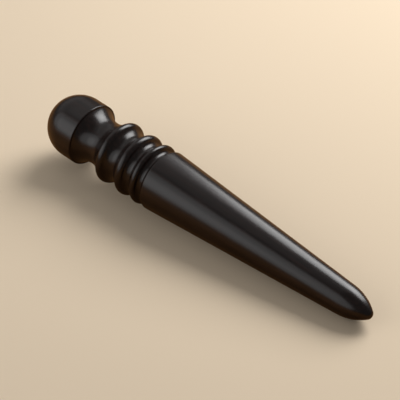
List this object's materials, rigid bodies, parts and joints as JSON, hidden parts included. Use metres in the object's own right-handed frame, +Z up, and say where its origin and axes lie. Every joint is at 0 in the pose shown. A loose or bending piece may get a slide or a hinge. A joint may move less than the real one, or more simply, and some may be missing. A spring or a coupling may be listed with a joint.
{
  "type": "leather edge burnisher",
  "caption": "Turned hardwood edge burnisher with a domed head, a wide neck groove, narrower coves between beads, and a long cone with a rounded point.",
  "frame": {"origin": "on the table, under the middle of the tool's length and width, with the tool lying on the lowest line of its cone", "axes": "+X along the tool from the domed head towards the point, +Z up, +Y across"},
  "size_m": [0.1496, 0.024, 0.0264],
  "materials": {
    "ebony": "polished satin, very dark, fine closed grain"
  },
  "bodies": {
    "root": {"turned_body": "ebony"}
  },
  "joints": []
}
